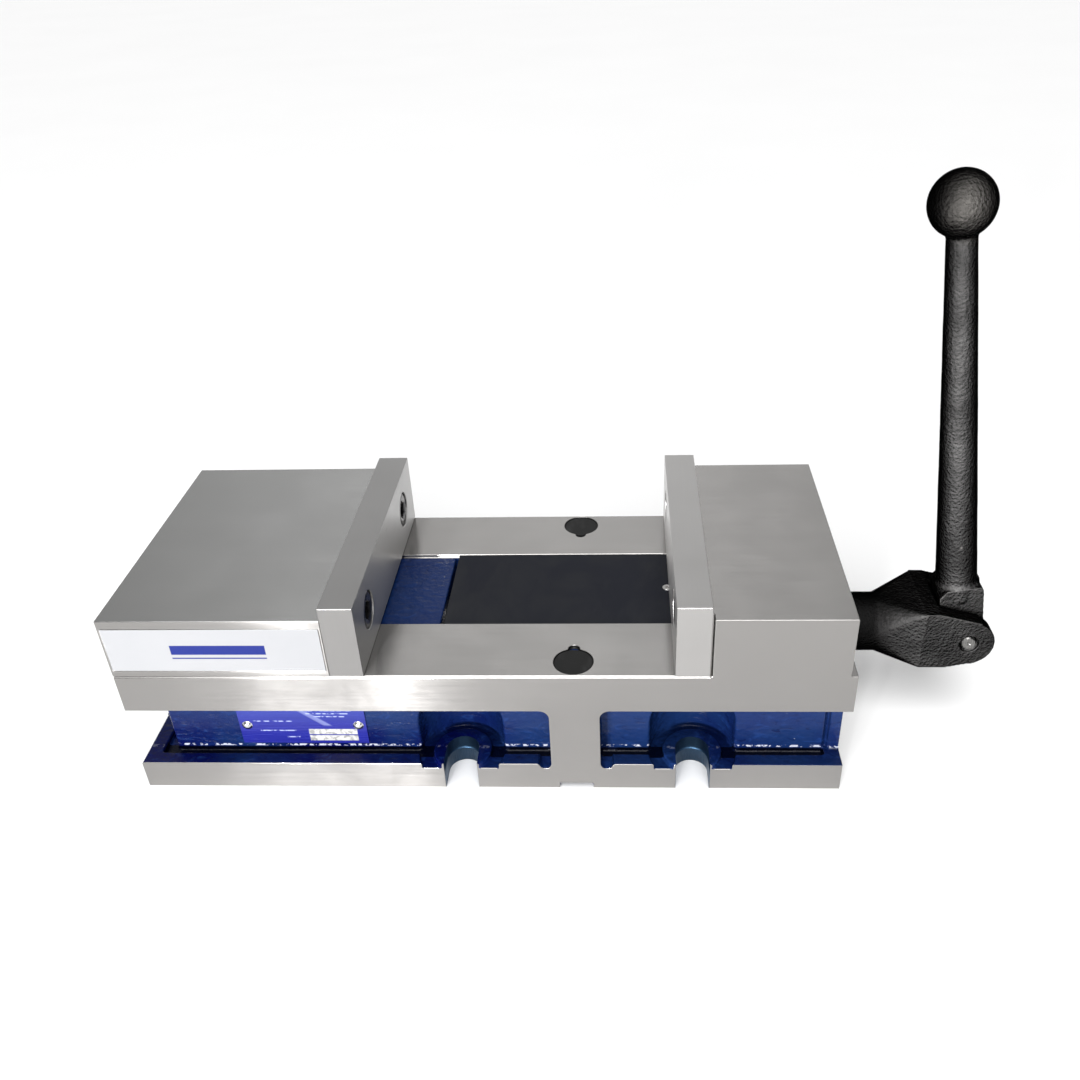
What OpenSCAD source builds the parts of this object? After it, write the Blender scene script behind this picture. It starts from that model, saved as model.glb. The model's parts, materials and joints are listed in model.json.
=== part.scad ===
// Angle-lock machine vise, 6 inch.
// X runs along the vise: the movable jaw is at -X and the crank at +X. -Y is the front and +Z is up.
// The origin is the middle of the body's ground base.

/* [Body] */
// Length of the cast body
body_l = 368; // [366:1:376]
// Width of the body and of both jaws
body_w = 152.4; // [150:0.1:160]
// Height of the ground bed above the base
bed_z = 75.8; // [73:0.1:78]
// Thickness of the base flange
flange_h = 17; // [15:0.5:18]
// Height of the underside of the side rails
rail_under_z = 53.2; // [50:0.1:54]
// Thickness of the overhanging part of the rails and flange, measured inwards from the sides
overhang = 13.2; // [12:0.1:14]
// Width of the bed slot between the rails
slot_w = 66.2; // [64:0.1:68]
// Width of the cored channel below the rails
channel_w = 76; // [74:0.5:78]

/* [Jaws] */
// Height of both jaw blocks above the bed
block_h = 34.2; // [33.5:0.1:37]
// Height of the jaw plates above the bed
plate_h = 41.27; // [41:0.01:47]
// Thickness of a jaw plate
plate_t = 17; // [16:0.5:18]
// Distance between the jaw plates as drawn
opening = 152.8; // [150:0.1:153]
// Length of the fixed jaw block
fixed_block_l = 67.8; // [66:0.1:69]
// Distance between the two screws of a jaw plate
plate_screw_pitch = 98.4; // [96:0.1:100]
// Height of the plate screws above the bed
plate_screw_h = 21.2; // [19:0.1:23]

/* [Base fastening] */
// Distance between the two vertical mounting bolts
mount_bolt_pitch = 128.8; // [128:0.1:130]
// Distance of the mounting bolts from the body's middle
mount_bolt_x = 45.4; // [44:0.1:47]
// Diameter of the mounting bolt holes
mount_bolt_d = 14.3; // [13:0.1:15]
// Distance from the mounting bolts to the clamp notches on either side
notch_offset = 60.5; // [58:0.5:62]
// Width of a clamp notch
notch_w = 17.4; // [16:0.1:18]
// Width of the keyway across the base
keyway_w = 17.46; // [16:0.01:18]
// Depth of that keyway
keyway_d = 3.6; // [3:0.1:4]

/* [Screw] */
// Height of the screw's axis
screw_z = 52.1; // [51.5:0.1:52.5]
// Outer diameter of the thread
thread_d = 28.6; // [28:0.1:28.8]
// Lead of the single-start thread
lead = 5.08; // [5.08:0.01:6]
// Width across the flats of the hex drive end
hex_af = 19.05; // [19:0.01:19.1]

/* [Crank] */
// Outer diameter of the socket's sleeve
sleeve_d = 32.6; // [32:0.1:34]
// Distance of the pivot pin from the body's middle
pivot_x = 255.3; // [255:0.1:257]
// Lean of the upright lever towards the vise, in degrees
lean = 8.75; // [8:0.05:10]
// Distance from the pivot pin to the centre of the ball
ball_dist = 229.6; // [200:0.1:240]
// Diameter of the ball
ball_d = 30.4; // [28:0.1:32]

/* [Hidden] */
$fn = 96;
e = 0.01;
big = 400;
half_l = body_l / 2;
half_w = body_w / 2;
wall_y = half_w - overhang;

// Jaw positions
block_top = bed_z + block_h;
plate_top = bed_z + plate_h;
rail_end = half_l - 0.4;
base_start = -half_l - 0.8;
base_end = half_l - 1.7;
rail_chamfer = 1.1;
fixed_block_x1 = rail_end - 3.5;
fixed_block_x0 = fixed_block_x1 - fixed_block_l;
fixed_face_x = fixed_block_x0 - plate_t;
moving_face_x = fixed_face_x - opening;
moving_block_x1 = moving_face_x - plate_t;
moving_block_x0 = -half_l;
plate_screw_z = bed_z + plate_screw_h;

// Plate screws, 1/2 inch socket head
cap_head_r = 9.5;
cap_head_h = 12.7;
cap_shank_r = 6.35;
cap_hole_r = 6.75;
cap_bore_r = 10;
cap_bore_depth = 13.2;
cap_length = 36;
cap_hex_af = 9.53;
tap_gap = 0.05;

// Body details
pocket_fillet = 5;
web_half = 12.85;
web_x0 = mount_bolt_x - web_half;
web_x1 = mount_bolt_x + web_half;
trough_w = 5;
trough_z = 13.9;
trough_outlet_r = 3.2;
left_wall_x = -half_l + 14;
left_rim_x = -half_l + 7.8;
right_groove_x0 = 174;
right_groove_w = 2;
notch_y = half_w - 12.05;
notch_x = [mount_bolt_x - notch_offset, mount_bolt_x + notch_offset];
pad_r = 15.5;
recess_r = 22.5;
recess_y = half_w - 10.2;
recess_dome_z = 33;
guard_ledge_z = bed_z - 1.9;
plate_relief_l = 1.1;
plate_relief_w = 5;
slot_lower_w = slot_w - 2;
channel_floor_z = 16;
channel_roof_z = 58;
channel_x1 = 150;
relief_depth = 3;
relief_half_w = 42;
plug_bore_r = 10;
plug_seat_z = 42;
plug_notch_r = 3;

// Thrust bearing in the right end wall
journal_r = 14.5;
run_gap = 0.06;
bearing_r = 19;
washer_t = 2.5;
needle_r = 1.48;
needle_count = 16;
needle_l = 3.2;
cage_t = 2.4;
stack_x = 158;
cage_x = stack_x + washer_t + 1.5;
outer_washer_x = stack_x + washer_t + 3;
collar_x = outer_washer_x + washer_t;
collar_t = 5;
cap_x = collar_x + collar_t + 1.5;
cap_t = 9;
seal_r0 = 11.2;
seal_r1 = 13.4;
shank_r = 11.05;

// Screw
thread_r = thread_d / 2;
thread_root_r = thread_r - 1.9;
thread_x0 = -148;
thread_x1 = 146;
tail_x0 = -159;
tail_r = 9.5;
collar_w = 8.5;
collar_mid_x = tail_x0 + 5.25;
pin_hole_r = 2.5;
hex_x1 = 206;
hex_r = hex_af / 2 / cos(30);

// Nut carriage and angle-lock segment
nut_x0 = -147;
nut_x1 = -92;
nut_half_w = 31.9;
nut_z0 = 33;
nut_top_z = bed_z - 2;
leaf_x1 = -26.5;
wing_half_w = channel_w / 2 - 0.5;
wing_z0 = 44;
wing_z1 = channel_roof_z - 0.4;
post_x0 = -142;
post_half_w = 20;
post_top_z = bed_z + 25;
lock_angle = 30;
segment_r = 13;
segment_x = -112;
segment_z = bed_z + 15;
segment_proud = 1.6;
cavity_x0 = -158;
cavity_x1 = -92;
cavity_half_w = 22;
cavity_top_z = bed_z + 28;
set_screw_z = bed_z + 14;
set_screw_r = 5;

// Chip guard
guard_x0 = -24.3;
guard_x1 = 118;
guard_half_w = slot_w / 2 - 0.35;
guard_z0 = guard_ledge_z + 0.05;
guard_z1 = bed_z - 0.4;
guard_screw_x = 94.6;
stop_reach = 2;
stop_relief_half_w = 2.2;
stop_relief_l = 3.6;

// Crank socket
socket_x0 = half_l + 0.8;
sleeve_x1 = 209;
fork_x0 = 230.5;
fork_half_w = 21.5;
fork_half_slot = 12.2;
nose_r = 13.5;
fork_top = 19.4;
fork_bottom = 16;
flare_step = 0.2;
pin_r = 4;
pin_recess_r = 5;
pin_recess_depth = 1.6;
root_r = 13.2;
shoulder_w = 29.2;
block_left = 13.5;
block_right = 10.5;
lever_half_w = 11.7;
bar_offset = -1.4;
bar_r0 = 10.9;
bar_r1 = 7;
bar_top = 220;

// ---- helpers ----

// A box between two corners
module span(a, b) translate(a) cube(b - a);

// A cylinder along +X that starts at x
module rod_x(x, length, r) translate([x, 0, 0]) rotate([0, 90, 0]) cylinder(r = r, h = length);

// The same, on the screw's axis
module on_screw(x, length, r) translate([0, 0, screw_z]) rod_x(x, length, r);

// A ring on the screw's axis
module screw_ring(x, length, r, bore) difference() {
    on_screw(x, length, r);
    on_screw(x - 1, length + 2, bore);
}

// Its children, and their mirror image on the other side of the vise
module both_sides() {
    children();
    mirror([0, 1, 0]) children();
}

// A side outline in X and Z, extruded from y0 to y1
module side_extrude(y0, y1) translate([0, y1, 0]) rotate([90, 0, 0])
    linear_extrude(height = y1 - y0) children();

// ---- body ----

// Outline of a side pocket between the flange and the rail; the corner next to the web is round
module pocket_outline(x_open, x_web, toward) {
    c = x_web - toward * pocket_fillet;
    low = min(x_open, c);
    high = max(x_open, c);
    translate([low, flange_h]) square([high - low, rail_under_z - flange_h]);
    translate([min(c, x_web), flange_h])
        square([pocket_fillet, rail_under_z - flange_h - pocket_fillet]);
    translate([c, rail_under_z - pocket_fillet]) circle(r = pocket_fillet);
}

// Everything cast away beside the web on the front side
module side_pockets() mirror([0, 1, 0]) {
    side_extrude(wall_y, half_w + 1) pocket_outline(-half_l - 1, web_x0, 1);
    side_extrude(wall_y, half_w + 1) pocket_outline(half_l + 1, web_x1, -1);
}

// Drain trough along the foot of the front wall, with its outlets beside the web
module troughs() mirror([0, 1, 0]) {
    span([left_rim_x, wall_y - e, trough_z], [web_x0, wall_y + trough_w, rail_under_z]);
    span([web_x1, wall_y - e, trough_z], [right_groove_x0, wall_y + trough_w, rail_under_z]);
    for (x = [web_x0 - trough_outlet_r, web_x1 + trough_outlet_r])
        translate([x, wall_y, trough_z + trough_outlet_r])
            rotate([-90, 0, 0]) cylinder(r = trough_outlet_r, h = overhang + 1);
}

// Domed recess in the front wall that gives a clamp's nut and washer room
module clamp_recess(x) translate([x, -recess_y, 0]) {
    translate([0, 0, trough_z]) cylinder(r = recess_r, h = recess_dome_z - trough_z);
    translate([0, 0, recess_dome_z]) sphere(r = recess_r);
}

// Raised pad around a clamp notch
module clamp_pad(x) intersection() {
    translate([x, -notch_y, 0]) cylinder(r = pad_r, h = flange_h);
    span([-half_l, -half_w, 0], [half_l, 0, flange_h]);
}

// U-shaped clamp notch through the flange
module clamp_notch(x) {
    translate([x, -notch_y, -1]) cylinder(d = notch_w, h = flange_h + 2);
    span([x - notch_w / 2, -half_w - 1, -1], [x + notch_w / 2, -notch_y, flange_h + 1]);
}

// Vertical mounting bolt hole with its counterbore and the pry notch for its plug
module mount_bolt_hole() translate([mount_bolt_x, -mount_bolt_pitch / 2, 0]) {
    translate([0, 0, -1]) cylinder(d = mount_bolt_d, h = bed_z + 2);
    translate([0, 0, plug_seat_z]) cylinder(r = plug_bore_r, h = bed_z);
    translate([0, plug_bore_r, bed_z - 2.5]) cylinder(r = plug_notch_r, h = 5);
}

// Channel for the screw and nut, open at the left end, the slot above it, and room for the guard's stop screw
module channel() {
    span([-half_l - 1, -channel_w / 2, channel_floor_z], [channel_x1, channel_w / 2, channel_roof_z]);
    span([-half_l - 1, -slot_lower_w / 2, channel_roof_z - e], [channel_x1, slot_lower_w / 2, bed_z]);
    span([-half_l - 1, -slot_w / 2, guard_ledge_z], [rail_end + 1, slot_w / 2, bed_z]);
    span([channel_x1 - e, -stop_relief_half_w, guard_z0 - stop_reach - 0.5],
        [channel_x1 + stop_relief_l, stop_relief_half_w, guard_ledge_z + e]);
}

// Bore and bearing seat in the right end wall
module bearing_seat() {
    on_screw(channel_x1 - 1, half_l, journal_r + run_gap);
    on_screw(stack_x, half_l, bearing_r);
}

// Holes in the fixed block for the plate screws
module plate_screw_taps(x) for (side = [-1, 1])
    translate([0, side * plate_screw_pitch / 2, plate_screw_z])
        rod_x(x - 1, cap_length, cap_shank_r + tap_gap);

// Rebates at the ends of the fixed block's face, behind the plate
module plate_reliefs() both_sides()
    span([fixed_block_x0 - 1, -half_w - 1, bed_z],
        [fixed_block_x0 + plate_relief_l, plate_relief_w - half_w, big]);

// Chamfers along the outer top edges of the rails, up to the fixed block
module rail_chamfers() both_sides() translate([-half_l - 1, -half_w, bed_z]) rotate([90, 0, 90])
    linear_extrude(height = fixed_block_x0 + half_l + 1)
        polygon([[-1, 1], [-1, -rail_chamfer - 1], [rail_chamfer + 1, 1]]);

module casting() {
    difference() {
        span([base_start, -half_w, 0], [base_end, half_w, rail_under_z + e]);
        both_sides() {
            side_pockets();
            troughs();
            for (x = notch_x) clamp_recess(x);
        }
        // left end, below the rails
        span([-half_l - 1, -half_w - 1, flange_h], [left_wall_x, half_w + 1, rail_under_z]);
        span([base_start - 1, -half_w - 1, flange_h], [-half_l, half_w + 1, rail_under_z + 1]);
        span([left_rim_x, -wall_y, trough_z], [left_wall_x, wall_y, rail_under_z]);
        // right end groove
        both_sides() span([right_groove_x0, wall_y - 1.5, flange_h],
            [right_groove_x0 + right_groove_w, wall_y + 1, rail_under_z]);
    }
    both_sides() for (x = notch_x) clamp_pad(x);
    span([-half_l, -half_w, rail_under_z], [rail_end, half_w, bed_z]);
    span([fixed_block_x0, -half_w, bed_z - e], [fixed_block_x1, half_w, block_top]);
}

module body() color([0.09, 0.13, 0.42]) difference() {
    casting();
    channel();
    bearing_seat();
    plate_screw_taps(fixed_block_x0);
    plate_reliefs();
    rail_chamfers();
    both_sides() {
        mount_bolt_hole();
        for (x = notch_x) clamp_notch(x);
    }
    // keyway, and the cast reliefs that leave ground pads on the base
    span([mount_bolt_x - keyway_w / 2, -half_w - 1, -1],
        [mount_bolt_x + keyway_w / 2, half_w + 1, keyway_d]);
    span([-half_l + 24, -relief_half_w, -1], [-30, relief_half_w, relief_depth]);
    span([web_x1 + 8, -relief_half_w, -1], [half_l - 24, relief_half_w, relief_depth]);
}

// Plastic cups that close the bolt counterbores
module bed_plugs() color([0.12, 0.12, 0.13]) both_sides()
    translate([mount_bolt_x, -mount_bolt_pitch / 2, bed_z - 6]) difference() {
        cylinder(r = plug_bore_r - 0.05, h = 5.6);
        translate([0, 0, -1]) cylinder(r = plug_bore_r - 1.8, h = 4);
    }

// ---- data plate ----
plate_x = [-132.8, -65];
plate_z = [19.6, 44.6];
data_plate_t = 0.8;
rivet_r = 1.6;
rivet_x = [plate_x[0] + 4.2, plate_x[1] - 4.2];
rivet_z = (plate_z[0] + plate_z[1]) / 2;

module data_plate() color([0.1, 0.12, 0.45]) difference() {
    span([plate_x[0], -wall_y - data_plate_t, plate_z[0]], [plate_x[1], -wall_y, plate_z[1]]);
    for (x = rivet_x) translate([x, -wall_y + 1, rivet_z])
        rotate([90, 0, 0]) cylinder(r = rivet_r + tap_gap, h = 3);
}

module data_plate_rivets() color([0.75, 0.75, 0.76]) for (x = rivet_x)
    translate([x, -wall_y, rivet_z]) rotate([90, 0, 0]) {
        cylinder(r = rivet_r, h = data_plate_t);
        intersection() {
            translate([0, 0, data_plate_t]) cylinder(r = 2.8, h = 1.4);
            translate([0, 0, data_plate_t - 2.6]) sphere(r = 4);
        }
    }

// ---- jaw plates ----

// A jaw plate between x and x + plate_t, with its counterbores on the gripping side
module jaw_plate(x, z0, grip_x, toward) difference() {
    span([x, -half_w, z0], [x + plate_t, half_w, plate_top]);
    for (side = [-1, 1]) translate([0, side * plate_screw_pitch / 2, plate_screw_z]) {
        rod_x(x - 1, plate_t + 2, cap_hole_r);
        rod_x(toward > 0 ? grip_x - cap_bore_depth : grip_x - 1, cap_bore_depth + 1, cap_bore_r);
    }
}

// Socket-head cap screw along X: its head's outer face is at x, and it points along "toward"
module cap_screw(x, toward) translate([x, 0, 0]) rotate([0, toward * 90, 0]) difference() {
    union() {
        cylinder(r = cap_head_r, h = cap_head_h);
        cylinder(r = cap_shank_r, h = cap_length);
    }
    translate([0, 0, -1]) cylinder(r = cap_hex_af / 2 / cos(30), h = 7.5, $fn = 6);
}

module plate_screws(x, toward) for (side = [-1, 1])
    translate([0, side * plate_screw_pitch / 2, plate_screw_z]) cap_screw(x, toward);

module fixed_jaw_plate() color([0.78, 0.77, 0.75])
    jaw_plate(fixed_face_x, bed_z, fixed_face_x, -1);

module movable_jaw_plate() color([0.78, 0.77, 0.75])
    jaw_plate(moving_block_x1, bed_z + 0.1, moving_face_x, 1);

module fixed_plate_screws() color([0.1, 0.1, 0.11])
    plate_screws(fixed_face_x + cap_bore_depth - cap_head_h, 1);

module movable_plate_screws() color([0.1, 0.1, 0.11])
    plate_screws(moving_face_x - cap_bore_depth + cap_head_h, -1);

// ---- movable jaw ----
label_t = 0.4;
label_x = [moving_block_x0 + 1.2, moving_block_x1 - 1.2];
label_z = [bed_z + 3.8, block_top - 5];

// The half space on the pushing side of the angle-lock plane, shifted along its normal
module lock_side(shift, depth) translate([segment_x, 0, segment_z]) rotate([0, lock_angle, 0])
    translate([shift, -big / 2, -big / 2]) cube([depth, big, big]);

module movable_jaw() color([0.74, 0.73, 0.71]) difference() {
    span([moving_block_x0, -half_w, bed_z], [moving_block_x1, half_w, block_top]);
    difference() {
        span([cavity_x0, -cavity_half_w, bed_z - 1], [cavity_x1, cavity_half_w, cavity_top_z]);
        lock_side(segment_proud, big);
    }
    translate([segment_x, 0, segment_z]) sphere(r = segment_r + 0.03);
    translate([0, 0, set_screw_z])
        rod_x(moving_block_x0 - 1, cavity_x0 - moving_block_x0 + 2, set_screw_r + tap_gap);
    for (side = [-1, 1]) translate([0, side * plate_screw_pitch / 2, plate_screw_z])
        rod_x(moving_block_x1 - cap_length, cap_length + 1, cap_shank_r + tap_gap);
    span([label_x[0], -half_w - 1, label_z[0]], [label_x[1], -half_w + label_t, label_z[1]]);
}

module jaw_side_label() color([0.9, 0.91, 0.93])
    span([label_x[0], -half_w, label_z[0]], [label_x[1], -half_w + label_t, label_z[1]]);

module jaw_set_screw() color([0.15, 0.15, 0.16]) translate([0, 0, set_screw_z]) difference() {
    rod_x(cavity_x0 - 18, post_x0 - cavity_x0 + 18, set_screw_r);
    translate([cavity_x0 - 19, 0, 0]) rotate([0, 90, 0]) cylinder(r = 2.9, h = 6, $fn = 6);
}

// Half ball whose flat leans on the nut's inclined face
module angle_segment() color([0.55, 0.55, 0.56]) difference() {
    intersection() {
        translate([segment_x, 0, segment_z]) sphere(r = segment_r);
        lock_side(0, big);
    }
    translate([segment_x, 0, segment_z]) rotate([0, lock_angle, 0]) rotate([0, 90, 0])
        rotate_extrude() translate([segment_r - 0.75, 1.6]) circle(r = 0.75);
}

module segment_o_ring() color([0.08, 0.08, 0.08])
    translate([segment_x, 0, segment_z]) rotate([0, lock_angle, 0]) rotate([0, 90, 0])
        rotate_extrude() translate([segment_r - 0.75, 1.6]) circle(r = 0.65);

// Nut with its wings under the rails, its post in the jaw, and the leaf that covers the screw
module nut_carriage() color([0.09, 0.14, 0.45]) difference() {
    union() {
        span([nut_x0, -nut_half_w, nut_z0], [nut_x1, nut_half_w, nut_top_z]);
        span([nut_x0, -wing_half_w, wing_z0], [nut_x1, wing_half_w, wing_z1]);
        span([nut_x1 - e, -nut_half_w, screw_z + thread_r + 1], [leaf_x1, nut_half_w, nut_top_z]);
        difference() {
            span([post_x0, -post_half_w, nut_top_z - e], [cavity_x1 - 2, post_half_w, post_top_z]);
            lock_side(0, big);
        }
    }
    on_screw(nut_x0 - 1, nut_x1 - nut_x0 + 2, thread_r + 0.08);
}

// ---- screw and bearing ----

// Half outline of the ringed thread: radius against length
function thread_points() = [
    for (i = [0 : floor((thread_x1 - thread_x0) / lead) - 1])
        each [
            [thread_root_r, thread_x0 + (i + 0.10) * lead],
            [thread_root_r, thread_x0 + (i + 0.42) * lead],
            [thread_r, thread_x0 + (i + 0.60) * lead],
            [thread_r, thread_x0 + (i + 0.92) * lead]
        ]
];

// Cross hole for the stop collar's pin
module collar_pin(r) translate([collar_mid_x, 0, screw_z - 14.5]) cylinder(r = r, h = 29);

module lead_screw() color([0.45, 0.45, 0.46]) difference() {
    screw_blank();
    collar_pin(pin_hole_r);
}

module screw_blank() {
    translate([0, 0, screw_z]) rotate([0, 90, 0]) rotate_extrude() polygon(concat(
        [[0, tail_x0], [tail_r, tail_x0], [tail_r, thread_x0], [thread_root_r, thread_x0]],
        thread_points(),
        [
            [journal_r, thread_x1], [journal_r, collar_x],
            [bearing_r - 0.6, collar_x], [bearing_r - 0.6, collar_x + collar_t],
            [shank_r, collar_x + collar_t], [shank_r, half_l], [0, half_l]
        ]));
    translate([half_l - e, 0, screw_z]) rotate([0, 90, 0]) cylinder(r = hex_r, h = hex_x1 - half_l, $fn = 6);
}

module stop_collar() color([0.4, 0.4, 0.42]) difference() {
    screw_ring(collar_mid_x - collar_w / 2, collar_w, 15, tail_r + 0.03);
    collar_pin(pin_hole_r);
}

module stop_collar_pin() color([0.6, 0.6, 0.6])
    collar_pin(pin_hole_r - 0.03);

module inner_thrust_washer() color([0.7, 0.7, 0.7])
    screw_ring(stack_x, washer_t, bearing_r - 0.05, journal_r + run_gap);

module needle_places() for (i = [0 : needle_count - 1])
    translate([cage_x, 0, screw_z]) rotate([i * 360 / needle_count, 0, 0])
        translate([0, 0, journal_r + 0.7]) children();

module needle_cage() color([0.62, 0.55, 0.32]) difference() {
    screw_ring(cage_x - cage_t / 2, cage_t, bearing_r - 0.1, journal_r + run_gap + 0.03);
    needle_places() translate([0, 0, -0.03]) cylinder(r = needle_r + 0.02, h = needle_l + 0.06);
}

module thrust_needles() color([0.8, 0.8, 0.8])
    needle_places() cylinder(r = needle_r, h = needle_l, $fn = 24);

module outer_thrust_washer() color([0.7, 0.7, 0.7])
    screw_ring(outer_washer_x, washer_t, bearing_r - 0.1, journal_r + 0.03);

// Ring that closes the bearing seat; two pin-spanner holes turn it
module bearing_cap() color([0.35, 0.35, 0.37]) difference() {
    screw_ring(cap_x, cap_t, bearing_r - 0.05, shank_r + 0.15);
    screw_ring(cap_x + 3, 3, seal_r1, shank_r - 1);
    for (side = [-1, 1]) translate([0, side * 16.2, 0]) on_screw(cap_x + cap_t - 5, 6, 1.6);
}

module screw_seal() color([0.05, 0.05, 0.05])
    screw_ring(cap_x + 3.05, 2.9, seal_r1 - 0.03, seal_r0 - 0.1);

// ---- chip guard ----
module chip_guard() color([0.16, 0.17, 0.2]) difference() {
    span([guard_x0, -guard_half_w, guard_z0], [guard_x1, guard_half_w, guard_z1]);
    translate([guard_screw_x, 0, guard_z0 - 1]) cylinder(r = 1.55, h = 3);
    translate([guard_screw_x, 0, guard_z0 + 0.3])
        cylinder(r1 = 1.55, r2 = 2.75, h = guard_z1 - guard_z0 - 0.3 + e);
}

// Countersunk stop screw; its end keeps the guard from sliding out of the bed
module guard_screw() color([0.85, 0.85, 0.86]) translate([guard_screw_x, 0, 0]) {
    translate([0, 0, guard_z0 - stop_reach]) cylinder(r = 1.5, h = stop_reach + 0.5);
    translate([0, 0, guard_z0 + 0.35]) cylinder(r1 = 1.5, r2 = 2.65, h = guard_z1 - guard_z0 - 0.35);
}

// ---- crank ----

// Side outline of the fork, about the screw's axis
module fork_outline() {
    polygon([
        [fork_x0, -fork_bottom], [fork_x0, fork_top],
        [238, fork_top], [pivot_x + 5, nose_r],
        [pivot_x + 3, 0.6 - nose_r], [244, -fork_bottom]
    ]);
}

// Body of the socket before it is bored: a sleeve that flares into the flat-sided fork
module socket_blank() {
    on_screw(socket_x0, sleeve_x1 - socket_x0, sleeve_d / 2);
    hull() {
        on_screw(sleeve_x1 - 1, 1, sleeve_d / 2 - flare_step, $fn = 32);
        span([fork_x0, flare_step - fork_half_w, screw_z + flare_step - fork_bottom],
            [fork_x0 + 1, fork_half_w - flare_step, screw_z + fork_top - flare_step]);
    }
    translate([0, 0, screw_z]) {
        side_extrude(-fork_half_w, fork_half_w) fork_outline();
        translate([pivot_x, fork_half_w, 0]) rotate([90, 0, 0]) cylinder(r = nose_r, h = 2 * fork_half_w);
    }
}

// Places its children in the lever's own frame: the pivot is the origin and +Z runs along the lever
module lever_frame() translate([pivot_x, 0, screw_z]) rotate([0, -lean, 0]) children();

module handle_socket() color([0.13, 0.13, 0.13]) difference() {
    socket_blank();
    translate([socket_x0 - 1, 0, screw_z]) rotate([0, 90, 0])
        cylinder(r = hex_r + 0.1, h = hex_x1 - socket_x0 + 2, $fn = 6);
    lever_frame() span([-block_left - 0.3, -fork_half_slot, -60], [60, fork_half_slot, 60]);
    translate([pivot_x, big / 2, screw_z]) rotate([90, 0, 0]) cylinder(r = pin_r, h = big);
    both_sides() translate([pivot_x, -fork_half_w + pin_recess_depth, screw_z])
        rotate([90, 0, 0]) cylinder(r = pin_recess_r, h = 10);
}

module handle_pivot_pin() color([0.7, 0.7, 0.7])
    translate([pivot_x, fork_half_w - 0.6, screw_z]) rotate([90, 0, 0])
        cylinder(r = pin_r, h = 2 * (fork_half_w - 0.6));

module handle_lever() color([0.12, 0.12, 0.12]) difference() {
    lever_frame() {
        side_extrude(-lever_half_w, lever_half_w) {
            circle(r = root_r);
            translate([-block_left + 0.3, 0]) square([block_left - 0.3 + block_right, shoulder_w]);
        }
        translate([bar_offset, 0, shoulder_w - e])
            cylinder(r1 = bar_r0, r2 = bar_r1, h = bar_top - shoulder_w);
        translate([bar_offset, 0, ball_dist]) sphere(d = ball_d);
    }
    translate([pivot_x, big / 2, screw_z]) rotate([90, 0, 0]) cylinder(r = pin_r + 0.06, h = big);
}

body();
bed_plugs();
data_plate();
data_plate_rivets();
fixed_jaw_plate();
fixed_plate_screws();
movable_jaw();
movable_jaw_plate();
movable_plate_screws();
jaw_side_label();
jaw_set_screw();
angle_segment();
segment_o_ring();
nut_carriage();
lead_screw();
stop_collar();
stop_collar_pin();
inner_thrust_washer();
needle_cage();
thrust_needles();
outer_thrust_washer();
bearing_cap();
screw_seal();
chip_guard();
guard_screw();
handle_socket();
handle_pivot_pin();
handle_lever();
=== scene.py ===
"""Looks of the angle-lock machine vise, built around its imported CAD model."""

import json
import math

import bmesh
import bpy
from mathutils import Matrix, Vector

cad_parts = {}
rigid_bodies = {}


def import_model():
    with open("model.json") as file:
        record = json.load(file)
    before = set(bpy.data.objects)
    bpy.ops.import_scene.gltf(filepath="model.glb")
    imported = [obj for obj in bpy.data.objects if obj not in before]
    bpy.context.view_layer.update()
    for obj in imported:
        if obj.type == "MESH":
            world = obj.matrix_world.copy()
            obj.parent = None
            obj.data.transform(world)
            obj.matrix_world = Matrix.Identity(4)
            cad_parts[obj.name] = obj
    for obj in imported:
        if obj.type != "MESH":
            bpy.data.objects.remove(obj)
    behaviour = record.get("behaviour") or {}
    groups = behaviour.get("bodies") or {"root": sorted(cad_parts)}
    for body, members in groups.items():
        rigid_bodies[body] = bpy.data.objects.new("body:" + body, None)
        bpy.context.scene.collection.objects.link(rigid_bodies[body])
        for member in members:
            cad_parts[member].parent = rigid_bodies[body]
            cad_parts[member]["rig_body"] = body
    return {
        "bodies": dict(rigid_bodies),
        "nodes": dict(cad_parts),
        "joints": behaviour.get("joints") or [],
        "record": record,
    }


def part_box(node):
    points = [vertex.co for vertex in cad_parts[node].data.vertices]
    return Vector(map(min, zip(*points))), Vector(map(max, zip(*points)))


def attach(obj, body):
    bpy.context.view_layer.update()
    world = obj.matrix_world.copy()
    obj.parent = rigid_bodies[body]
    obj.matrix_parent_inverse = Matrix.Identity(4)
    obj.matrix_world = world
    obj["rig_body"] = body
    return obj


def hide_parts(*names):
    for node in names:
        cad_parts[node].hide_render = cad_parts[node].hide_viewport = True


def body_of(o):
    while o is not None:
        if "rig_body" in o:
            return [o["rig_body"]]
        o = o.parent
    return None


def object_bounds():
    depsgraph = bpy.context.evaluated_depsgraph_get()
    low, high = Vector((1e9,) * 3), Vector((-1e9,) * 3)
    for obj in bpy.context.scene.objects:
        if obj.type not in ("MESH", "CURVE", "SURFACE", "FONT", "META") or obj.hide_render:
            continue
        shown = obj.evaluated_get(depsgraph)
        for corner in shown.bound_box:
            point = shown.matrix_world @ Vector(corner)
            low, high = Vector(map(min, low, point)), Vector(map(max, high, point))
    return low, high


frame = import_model()
cad_low, cad_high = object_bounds()

NODES = frame["nodes"]
MM = 0.001


# ---------------------------------------------------------------- node helpers

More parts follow.
